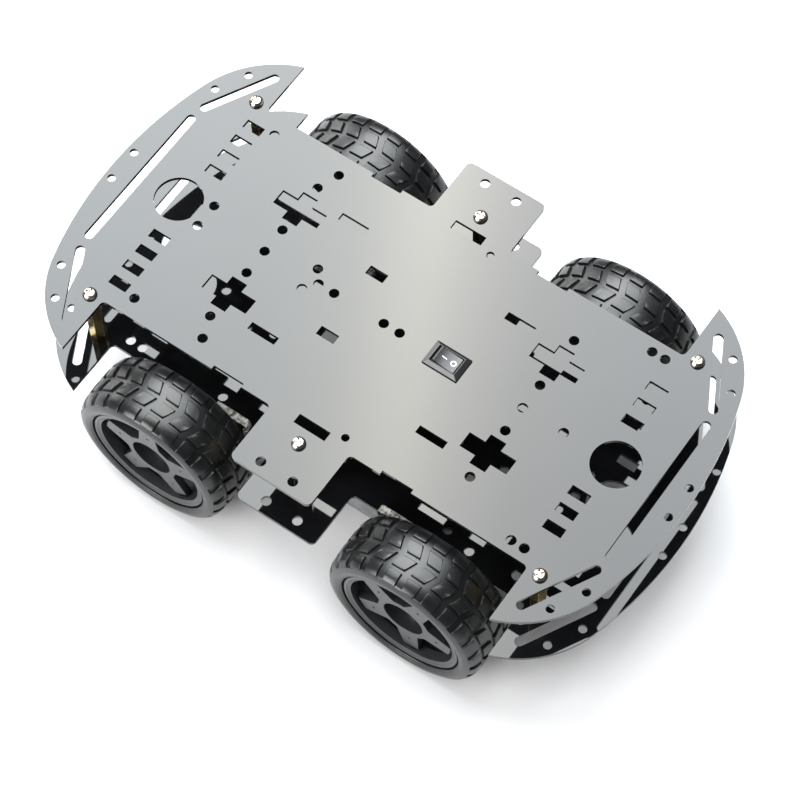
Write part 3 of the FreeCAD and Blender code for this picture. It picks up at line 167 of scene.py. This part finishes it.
def gloss_sheet(name):
    """Polished black sheet: mirror gloss with hairline scratches, faint haze and dust specks."""
    look = Surface(name, IOR=1.5)
    haze = look.noise(38 * MM, 4.0)
    dust = look.ramp(look.noise(0.55 * MM, 1.0), (0.0, 0.0), (0.75, 0.0), (0.80, 1.0))
    body = look.ramp(haze, (0.3, (0.0030, 0.0032, 0.0036)), (0.7, (0.0048, 0.0050, 0.0056)))
    look.colour(look.mixed(dust, body, look.ramp(haze, (0.0, 0.018), (1.0, 0.028))))
    hairlines = look.ramp(look.noise(1.2 * MM, 5.0, stretch=(1.0, 0.06, 1.0)), (0.66, 0.0), (0.80, 0.5))
    polished = look.ramp(haze, (0.3, 0.018), (0.75, 0.045))
    look.rough(look.mixed(hairlines, polished, look.ramp(haze, (0.0, 0.10), (1.0, 0.16))))
    look.bump(look.noise(14 * MM, 1.0), 0.004 * MM, 0.3)
    return look


def moulded(name, dark, light, roughness, grain=0.35, depth=0.02, patch=14.0):
    """Moulded plastic: fine spark-eroded grain over slow changes in shade and gloss."""
    look = Surface(name)
    patches = look.noise(patch * MM, 4.0)
    look.colour(look.ramp(patches, (0.3, dark), (0.72, light)))
    grains = look.noise(grain * MM, 2.0)
    low, high = roughness
    look.rough(look.ramp(patches, (0.3, low), (0.7, high)))
    look.bump(grains, depth * MM, 0.6)
    look.bump(look.noise(6 * MM, 2.0), 0.04 * MM, 0.3)
    return look


def rim_plastic(name):
    """Dark grey plastic, with painted shade darkening the barrel behind the spokes and dulling its
    reflection.
    """
    look = moulded(name, (0.018, 0.019, 0.020), (0.029, 0.030, 0.032), (0.26, 0.38), 0.5, 0.012)
    open_air = look.sheltered(16 * MM)
    unshaded_colour = look.shader.inputs["Base Color"].links[0].from_socket
    # Painted shade: a near-black colour laid into the recesses that the ambient occlusion finds, darkest
    # behind the spokes.
    painted_shade = look.ramp(look.noise(5 * MM), (0.3, (0.003, 0.003, 0.0035)), (0.7, (0.006, 0.006, 0.0065)))
    look.colour(look.mixed(look.ramp(open_air, (0.30, 0.0), (0.62, 1.0)), painted_shade, unshaded_colour))
    # Painted shade: the reflection is also turned down in the same recesses.
    look.link(look.ramp(open_air, (0.25, 0.06), (0.60, 0.50)), look.shader.inputs["Specular IOR Level"])
    return look


def metal(name, dark, light, roughness, stretch=(1.0, 1.0, 1.0), grain=0.5, depth=0.008):
    """Worked metal: brushed or turned lines, uneven tarnish and changing gloss."""
    look = Surface(name, Metallic=1.0)
    tarnish = look.noise(5 * MM, 5.0)
    lines = look.noise(grain * MM, 4.0, stretch)
    look.colour(look.mixed(look.ramp(lines, (0.35, 0.0), (0.7, 0.45)),
                           look.ramp(tarnish, (0.3, light), (0.75, dark)),
                           look.ramp(tarnish, (0.0, dark), (1.0, light))))
    low, high = roughness
    look.rough(look.ramp(tarnish, (0.3, low), (0.75, high)))
    look.bump(lines, depth * MM, 0.6)
    return look


def clear_sheet(name, tint, haze):
    """Clear plastic with a trace of haze and handling marks."""
    look = Surface(name, IOR=1.49, Transmission_Weight=1.0)
    marks = look.noise(7 * MM, 5.0)
    look.colour(look.ramp(marks, (0.35, tint), (0.7, tuple(min(1.0, 1.03 * c) for c in tint))))
    look.rough(look.ramp(marks, (0.4, haze), (0.75, haze + 0.10)))
    look.bump(look.noise(0.8 * MM, 3.0), 0.006 * MM, 0.5)
    return look


def sawn_edge(name):
    """Frosted edge that sawing leaves on clear sheet: chips, melted patches and fine cross lines."""
    look = Surface(name, IOR=1.49, Transmission_Weight=0.35)
    lines = look.noise(0.5 * MM, 4.0, stretch=(1.0, 0.1, 0.3))
    chips = look.noise(1.6 * MM, 5.0)
    pale = look.ramp(lines, (0.3, (0.40, 0.39, 0.35)), (0.7, (0.78, 0.77, 0.72)))
    shaded = look.ramp(lines, (0.3, (0.05, 0.05, 0.045)), (0.7, (0.24, 0.235, 0.21)))
    look.colour(look.mixed(look.ramp(chips, (0.42, 0.0), (0.58, 1.0)), shaded, pale))
    look.rough(look.ramp(chips, (0.3, 0.22), (0.7, 0.50)))
    look.bump(lines, 0.05 * MM, 0.7)
    look.bump(chips, 0.25 * MM, 0.8)
    return look


def tyre_rubber(name):
    """Black rubber: satin tread, a bloom of grey in patches and fine mould texture."""
    look = Surface(name, IOR=1.50)
    bloom = look.noise(9 * MM, 5.0)
    look.colour(look.ramp(bloom, (0.3, (0.0030, 0.0032, 0.0034)), (0.75, (0.0060, 0.0064, 0.0067))))
    look.rough(look.ramp(bloom, (0.3, 0.27), (0.75, 0.34)))
    look.bump(look.noise(0.35 * MM, 3.0), 0.05 * MM, 0.55)
    look.bump(look.noise(3.5 * MM, 2.0), 0.02 * MM, 0.3)
    return look


def winding(name):
    """Armature: enamelled copper between dark steel, in bands along the shaft."""
    look = Surface(name, Metallic=1.0)
    lines = look.bands(0.35 * MM, "Z", 1.5)
    look.colour(look.ramp(lines, (0.2, (0.16, 0.05, 0.025)), (0.8, (0.62, 0.25, 0.12))))
    look.rough(look.ramp(look.noise(1.5 * MM), (0.3, 0.25), (0.7, 0.42)))
    look.bump(lines, 0.12 * MM, 0.8)
    return look


NYLON = ((0.72, 0.70, 0.63), (0.82, 0.80, 0.74))
BLACK = ((0.010, 0.010, 0.011), (0.019, 0.019, 0.020))
SURFACES = {
    "plate_black": gloss_sheet("gloss black sheet"),
    "brass": metal("turned brass", (0.34, 0.24, 0.09), (0.62, 0.46, 0.20), (0.14, 0.26),
                   stretch=(0.15, 0.15, 1.0)),
    "nickel_screw": metal("nickel plate", (0.40, 0.34, 0.27), (0.78, 0.73, 0.66), (0.20, 0.32)),
    "clear_bracket": clear_sheet("clear acrylic", (0.93, 0.955, 0.96), 0.03),
    "clear_strap": clear_sheet("clear strap", (0.93, 0.94, 0.93), 0.14),
    "gearbox_black": moulded("gearbox plastic", *BLACK, (0.34, 0.48), 0.30, 0.03),
    "can_steel": metal("zinc plated can", (0.15, 0.155, 0.16), (0.36, 0.37, 0.38), (0.24, 0.40),
                       stretch=(0.08, 1.0, 1.0)),
    "end_cap": moulded("white nylon", *NYLON, (0.40, 0.52)),
    "gear_plastic": moulded("gear nylon", *NYLON, (0.34, 0.46), 0.25),
    "rotor_steel": winding("armature winding"),
    "magnet": moulded("ferrite", (0.03, 0.03, 0.033), (0.06, 0.06, 0.064), (0.55, 0.7), 0.2, 0.05),
    "rim_grey": rim_plastic("rim plastic"),
    "tyre_rubber": tyre_rubber("tyre rubber"),
    "switch_black": moulded("switch plastic", *BLACK, (0.22, 0.34), 0.22, 0.012),
}
LOOKS = {slot: surface.material for slot, surface in SURFACES.items()}


# ---------------------------------------------------------------- pieces

# Edges that turn by more than this are rounded, and faces that turn by less than FLAT are joined.
SHARP_EDGE, FLAT = math.radians(28), math.radians(0.6)


def finished(name, bm, body, slot, replaced, material=None, smooth_angle=40):
    """Turn a bmesh into a piece that rides a body and stands for CAD nodes."""
    mesh = bpy.data.meshes.new(name)
    bm.to_mesh(mesh)
    bm.free()
    mesh.materials.append(material or LOOKS[slot])
    mesh.shade_smooth()
    mesh.set_sharp_from_angle(angle=math.radians(smooth_angle))
    piece = bpy.data.objects.new(name, mesh)
    bpy.context.scene.collection.objects.link(piece)
    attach(piece, body)
    if replaced:
        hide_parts(*replaced)
    even = piece.modifiers.new("even shading", "WEIGHTED_NORMAL")
    even.keep_sharp = True
    return piece


def cad_copy(node):
    """The CAD node's mesh with its flat areas joined into single faces."""
    bm = bmesh.new()
    bm.from_mesh(frame["nodes"][node].data)
    bmesh.ops.remove_doubles(bm, verts=bm.verts, dist=1e-6)
    bmesh.ops.dissolve_limit(bm, angle_limit=FLAT, verts=bm.verts, edges=bm.edges)
    return bm


def rounded(bm, edges, width):
    bmesh.ops.bevel(bm, geom=edges, offset=width, offset_type="OFFSET", segments=2,
                    profile=0.6, affect="EDGES", clamp_overlap=True)


def softened(node, slot, width, edge_look=None):
    """The piece with every sharp edge broken by a small round, as moulding or handling leaves it.

    With edge_look, the faces that don't face along Y get that second material.
    """
    bm = cad_copy(node)
    sharp = [edge for edge in bm.edges if edge.is_manifold and edge.calc_face_angle() > SHARP_EDGE]
    rounded(bm, sharp, width)
    if edge_look:
        for face in bm.faces:
            face.material_index = 0 if abs(face.normal.y) > 0.9 else 1
    body = frame["nodes"][node]["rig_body"]
    piece = finished(f"{node}_look", bm, body, slot, [node])
    if edge_look:
        piece.data.materials.append(edge_look)


# Tread and side of the tyre in mm: distance from its middle plane, outwards, and radius.
TYRE_SKIN = [(0.0, 32.48), (3.5, 32.42), (6.5, 32.27), (8.6, 32.02), (10.4, 31.56), (11.3, 31.02),
             (12.0, 30.36)]
SIDE_WALL = [(12.15, 30.05), (12.55, 29.2), (12.85, 28.3), (12.93, 27.5), (12.84, 26.8), (12.6, 26.3),
             (12.62, 26.05), (12.3, 25.75), (12.22, 25.35), (11.85, 25.04)]
TYRE_STEPS = 120
GROOVE_DEPTH = 0.95
BLOCKS_AROUND = 24
BLOCK_ARC = 9.5
# Rows of blocks: from and to in mm, and how far the row's inner edge leans ahead, in degrees.
BLOCK_ROWS = [(0.95, 5.65, 3.7), (7.2, 12.0, 0.0)]
# Points on one block's top: rows across the tread and columns around it.
GRID_ROWS, GRID_COLUMNS = 5, 4
# How far a block's walls spread towards their foot and sink below the groove, in mm.
WALL_SPREAD, WALL_SINK = 0.28, 0.25
BLOCK_ROUND = 0.23 * MM


def skin_radius(across):
    """Radius of the tread surface at a distance from the middle plane."""
    across = abs(across)
    for (a, low), (b, high) in zip(TYRE_SKIN, TYRE_SKIN[1:]):
        if across <= b:
            return low + (high - low) * (across - a) / (b - a)
    return TYRE_SKIN[-1][1]


def tyre_profile():
    """Closed section of the tyre without its blocks, from the outer bead round to the inner."""
    tread = [(across, radius - GROOVE_DEPTH) for across, radius in TYRE_SKIN[:-1]]
    half = tread + [(11.6, 30.15)] + SIDE_WALL
    return list(reversed(half)) + [(-across, radius) for across, radius in half[1:]]


def wheel_frame(node):
    """Middle of a wheel part and the direction away from the chassis along its axle."""
    low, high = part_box(node)
    middle = (low + high) / 2
    return middle, 1 if middle.y > 0 else -1


def around_axle(middle, side, across, radius, angle):
    """A point on the wheel; the angle turns from +X towards +Z, and across points outwards."""
    turned = math.radians(angle)
    return middle + Vector((radius * math.cos(turned), side * across, radius * math.sin(turned))) * MM


def turn_profile(bm, middle, side, profile, steps):
    """Sweep a closed section round the axle."""
    rings = [[bm.verts.new(around_axle(middle, side, across, radius, 360 * step / steps))
              for across, radius in profile] for step in range(steps)]
    for ring, following in zip(rings, rings[1:] + rings[:1]):
        for first in range(len(profile)):
            second = (first + 1) % len(profile)
            bm.faces.new((ring[first], ring[second], following[second], following[first]))


def block_border():
    """Grid places round the rim of a block's top, in order."""
    last_row, last_column = GRID_ROWS - 1, GRID_COLUMNS - 1
    places = [(0, column) for column in range(last_column)]
    places += [(row, last_column) for row in range(last_row)]
    places += [(last_row, column) for column in range(last_column, 0, -1)]
    return places + [(row, 0) for row in range(last_row, 0, -1)]


def tread_block(bm, middle, side, start, end, lean, heading, flip):
    """One raised block that follows the crown of the tyre, with sloping walls."""
    degrees_per_mm = math.degrees(1 / TYRE_SKIN[0][1])

    def corner(row, column, grow, sink):
        along = row / (GRID_ROWS - 1)
        spread = (column / (GRID_COLUMNS - 1) - 0.5) * (BLOCK_ARC + 2 * grow * degrees_per_mm)
        across = start + (end - start) * along + grow * (2 * along - 1)
        turn = heading - lean * (1 - along) + spread
        return bm.verts.new(around_axle(middle, side, flip * across, skin_radius(across) - sink, turn))

    top = [[corner(row, column, 0.0, 0.0) for column in range(GRID_COLUMNS)] for row in range(GRID_ROWS)]
    for row, following in zip(top, top[1:]):
        for column in range(GRID_COLUMNS - 1):
            bm.faces.new((row[column], row[column + 1], following[column + 1], following[column]))
    border = block_border()
    foot = [corner(row, column, WALL_SPREAD, GROOVE_DEPTH + WALL_SINK) for row, column in border]
    rim = [top[row][column] for row, column in border]
    for index in range(len(border)):
        after = (index + 1) % len(border)
        bm.faces.new((rim[index], foot[index], foot[after], rim[after]))
    bm.faces.new(foot[::-1])
    rounded(bm, [bm.edges.get(pair) for pair in zip(rim, rim[1:] + rim[:1])], BLOCK_ROUND)


def tyre(corner, heading):
    """Rubber tyre with two rows of leaning blocks and a row of square shoulder blocks each side."""
    node = f"{corner}_tyre"
    middle, side = wheel_frame(node)
    bm = bmesh.new()
    turn_profile(bm, middle, side, tyre_profile(), TYRE_STEPS)
    for number in range(BLOCKS_AROUND):
        place = heading + 360 * number / BLOCKS_AROUND
        for start, end, lean in BLOCK_ROWS:
            for flip in (1, -1):
                tread_block(bm, middle, side, start, end, lean, place, flip)
    bmesh.ops.recalc_face_normals(bm, faces=bm.faces)
    finished(f"{node}_look", bm, f"{corner}_wheel", "tyre_rubber", [node], smooth_angle=50)


# Half length, middle and tip height of the rocker's dished face above its pivot.
FACE_REACH, FACE_MIDDLE, FACE_TIP = 4.354 * MM, 2.2 * MM, 2.75 * MM
REST_LEAN = math.radians(11)
# The ink stands this far off the face and is this thick.
MARK_LIFT, INK_THICKNESS = 0.012 * MM, 0.02 * MM
RING_STEPS = 48
BAR_MARK = {"place": 1.5 * MM, "length": 2.2 * MM, "width": 0.42 * MM}
RING_MARK = {"place": 2.35 * MM, "outer": 1.12 * MM, "inner": 0.68 * MM}


def on_rocker_face(point):
    """Bend a flat mark onto the dished face."""
    rise = FACE_TIP - FACE_MIDDLE
    radius = (FACE_REACH ** 2 + rise ** 2) / (2 * rise)
    dip = radius - math.sqrt(radius ** 2 - point.x ** 2)
    return Vector((point.x, point.y, FACE_MIDDLE + dip + MARK_LIFT))


def ring_points(place, radius):
    turns = [2 * math.pi * step / RING_STEPS for step in range(RING_STEPS)]
    return [Vector((place + radius * math.cos(turn), radius * math.sin(turn), 0)) for turn in turns]


def bar_strips(place, length, width, steps=12):
    """Both long edges of a bar that runs along X, with round ends."""
    radius = width / 2
    far, near = [], []
    for step in range(steps + 1):
        x = -length / 2 + length * step / steps
        overhang = max(0.0, abs(x) - (length / 2 - radius))
        half = math.sqrt(max(radius ** 2 - overhang ** 2, (0.25 * radius) ** 2))
        far.append(Vector((place + x, half, 0)))
        near.append(Vector((place + x, -half, 0)))
    return far, near


def printed_mark(name, first, second, closed, look):
    """A thin ribbon between two rows of points, laid on the rocker's face at its rest angle."""
    bm = bmesh.new()
    rows = [[bm.verts.new(on_rocker_face(point)) for point in row] for row in (first, second)]
    count = len(first)
    for index in range(count if closed else count - 1):
        after = (index + 1) % count
        bm.faces.new((rows[0][index], rows[0][after], rows[1][after], rows[1][index]))
    bm.normal_update()
    bmesh.ops.solidify(bm, geom=bm.faces[:], thickness=INK_THICKNESS)
    bmesh.ops.recalc_face_normals(bm, faces=bm.faces)
    if bm.calc_volume(signed=True) < 0:
        bmesh.ops.reverse_faces(bm, faces=bm.faces)
    joint = next(item for item in frame["joints"] if item["name"] == "rocker_tilt")
    bm.transform(Matrix.Translation(joint["pos_m"]) @ Matrix.Rotation(REST_LEAN, 4, "Y"))
    finished(name, bm, "rocker", "switch_black", [], look.material)


def switch_marks():
    """The two plain symbols on the rocker: a bar on one end and a ring on the other."""
    look = Surface("white marking ink", IOR=1.45)
    worn = look.noise(0.4 * MM)
    look.colour(look.ramp(worn, (0.3, (0.40, 0.42, 0.45)), (0.7, (0.52, 0.54, 0.57))))
    look.rough(look.ramp(worn, (0.3, 0.4), (0.7, 0.6)))
    look.bump(worn, 0.01 * MM)
    bar = bar_strips(-BAR_MARK["place"], BAR_MARK["length"], BAR_MARK["width"])
    printed_mark("switch_bar_mark", *bar, closed=False, look=look)
    ring = [ring_points(RING_MARK["place"], RING_MARK[edge]) for edge in ("outer", "inner")]
    printed_mark("switch_ring_mark", *ring, closed=True, look=look)


# The slot each CAD node is finished with, and how far its edges are rounded in mm.
ROUNDED = [
    ("upper_plate", "plate_black", 0.12), ("lower_plate", "plate_black", 0.12),
    ("brass_spacers", "brass", 0.18), ("outer_brackets", "clear_bracket", 0.15),
    ("inner_brackets", "clear_bracket", 0.15), ("motor_nuts", "nickel_screw", 0.15),
    ("upper_plate_screws", "nickel_screw", 0.06), ("lower_plate_screws", "nickel_screw", 0.06),
    ("motor_bolts", "nickel_screw", 0.06), ("gearbox_screws", "nickel_screw", 0.06),
    ("switch_housing", "switch_black", 0.25), ("switch_rocker", "switch_black", 0.18),
    ("switch_terminals", "brass", 0.08), ("motor_terminals", "brass", 0.06),
]
ROUNDED_AT_CORNER = [
    ("gearbox_outer_half", "gearbox_black", 0.22), ("gearbox_inner_half", "gearbox_black", 0.22),
    ("motor_can", "can_steel", 0.25), ("motor_end_cap", "end_cap", 0.12),
    ("motor_strap", "clear_strap", 0.12), ("rim", "rim_grey", 0.30),
    ("output_shaft", "gear_plastic", 0.05),
]
# Turn of each tread so that its blocks stand as they do on the shown wheels, in degrees.
TREAD_HEADING = {"front_left": 11.5, "front_right": 7.9, "rear_left": 4.0, "rear_right": 9.6}


def build_pieces():
    """A piece for each node that shows; the nodes left as they are get their slot's look."""
    sawn = sawn_edge("sawn acrylic edge").material
    for node, slot, width in ROUNDED:
        softened(node, slot, width * MM, edge_look=sawn if slot == "clear_bracket" else None)
    for corner in CORNERS:
        for part, slot, width in ROUNDED_AT_CORNER:
            softened(f"{corner}_{part}", slot, width * MM)
        tyre(corner, TREAD_HEADING[corner])
    switch_marks()
    slots = {item["node"]: item["material_slot"] for item in frame["record"]["subparts"]}
    for name, node in frame["nodes"].items():
        if not node.hide_render:
            node.data.materials.clear()
            node.data.materials.append(LOOKS[slots[name]])


# ---------------------------------------------------------------- stage, lights and camera

FLOOR_HALF_WIDTH = 4.0


def floor():
    bm = bmesh.new()
    bmesh.ops.create_grid(bm, x_segments=2, y_segments=2, size=FLOOR_HALF_WIDTH)
    mesh = bpy.data.meshes.new("floor")
    bm.to_mesh(mesh)
    bm.free()
    look = Surface("pale paper", IOR=1.45)
    shade = look.noise(0.6, 3.0)
    look.colour(look.ramp(shade, (0.3, (0.545, 0.545, 0.55)), (0.7, (0.575, 0.575, 0.58))))
    look.rough(look.ramp(shade, (0.3, 0.7), (0.7, 0.8)))
    look.bump(look.noise(1.0 * MM), 0.02 * MM, 0.2)
    mesh.materials.append(look.material)
    plane = bpy.data.objects.new("floor", mesh)
    bpy.context.scene.collection.objects.link(plane)


def softbox(name, place, target, size, power):
    """Rectangular lamp at a place, facing a target; power in watts."""
    data = bpy.data.lights.new(name, "AREA")
    data.shape = "RECTANGLE"
    data.size, data.size_y = size
    data.energy = power
    lamp = bpy.data.objects.new(name, data)
    lamp.location = place
    lamp.rotation_euler = (Vector(target) - Vector(place)).to_track_quat("-Z", "Y").to_euler()
    bpy.context.scene.collection.objects.link(lamp)
    return lamp


# Brightness across the overhead panel: place from 0 to 1 and colour. The gloss deck mirrors it.
PANEL_BANDS = [(0.00, (0.44, 0.46, 0.48)), (0.30, (0.48, 0.51, 0.52)), (0.41, (0.48, 0.50, 0.51)),
               (0.47, (0.53, 0.54, 0.53)), (0.51, (0.72, 0.72, 0.67)), (0.535, (0.62, 0.62, 0.59)),
               (0.58, (0.45, 0.46, 0.46)), (0.66, (0.43, 0.45, 0.46)), (1.00, (0.38, 0.40, 0.42))]
# How the panel fades from one side to the other, along the bands.
PANEL_FADE = [(0.00, 0.69), (0.34, 0.70), (0.50, 0.85), (0.66, 1.00), (1.00, 1.00)]
PANEL_TURN = math.atan2(1, 2)


def overhead_panel():
    """Large soft panel with a warmer, brighter band across it."""
    place = Vector((-0.43, 0.565, 1.35))
    lamp = softbox("overhead", place, place - Vector((0, 0, 1)), (1.5, 1.5), 182.0)
    lamp.rotation_euler = (0.0, 0.0, PANEL_TURN)
    lamp.data.use_nodes = True
    tree = lamp.data.node_tree
    split = tree.nodes.new("ShaderNodeSeparateXYZ")
    tree.links.new(tree.nodes.new("ShaderNodeNewGeometry").outputs["Parametric"], split.inputs["Vector"])
    faded = tree.nodes.new("ShaderNodeVectorMath")
    faded.operation = "MULTIPLY"
    tree.links.new(colour_ramp(tree, split.outputs["X"], PANEL_BANDS, "B_SPLINE"), faded.inputs[0])
    tree.links.new(colour_ramp(tree, split.outputs["Y"], PANEL_FADE, "B_SPLINE"), faded.inputs[1])
    tree.links.new(faded.outputs["Vector"], tree.nodes["Emission"].inputs["Color"])


def lights():
    """A weak sky, the overhead panel and three fills."""
    world = bpy.data.worlds.new("studio")
    bpy.context.scene.world = world
    world.use_nodes = True
    sky = world.node_tree.nodes["Background"]
    sky.inputs["Color"].default_value = (0.95, 0.97, 1.0, 1.0)
    sky.inputs["Strength"].default_value = 0.06
    overhead_panel()
    softbox("front_fill", (-0.55, -1.25, 0.75), (0.0, -0.05, 0.04), (1.1, 0.9), 35.0)
    softbox("left_fill", (-1.35, 0.42, 0.50), (0.0, 0.0, 0.03), (0.8, 0.7), 11.0)
    # Lifts the floor at the front right, and leaves no second reflection in the deck.
    top_fill = softbox("top_fill", (0.38, -0.28, 1.40), (0.12, -0.08, 0.0), (0.8, 0.8), 16.0)
    top_fill.visible_glossy = False


def camera():
    """Camera above the front right corner, at the photograph's viewing angle."""
    azimuth, elevation, roll = math.radians(35.525), math.radians(61.753), math.radians(-0.81)
    distance = 0.9898
    target = Vector((23.0 * MM, -7.0 * MM, 76.75 * MM))
    back = Vector((math.sin(azimuth) * math.cos(elevation), -math.cos(azimuth) * math.cos(elevation),
                   math.sin(elevation)))
    data = bpy.data.cameras.new("camera")
    data.sensor_width = 36.0
    data.lens = 126.504
    data.shift_x = -0.0420
    data.shift_y = -0.0308
    data.clip_start = 0.01
    eye = bpy.data.objects.new("camera", data)
    bpy.context.scene.collection.objects.link(eye)
    aim = (-back).to_track_quat("-Z", "Y").to_matrix().to_4x4()
    eye.matrix_world = Matrix.Translation(target + back * distance) @ aim @ Matrix.Rotation(roll, 4, "Z")
    bpy.context.scene.camera = eye
    bpy.context.scene.view_settings.view_transform = "Standard"


build_pieces()
floor()
lights()
camera()
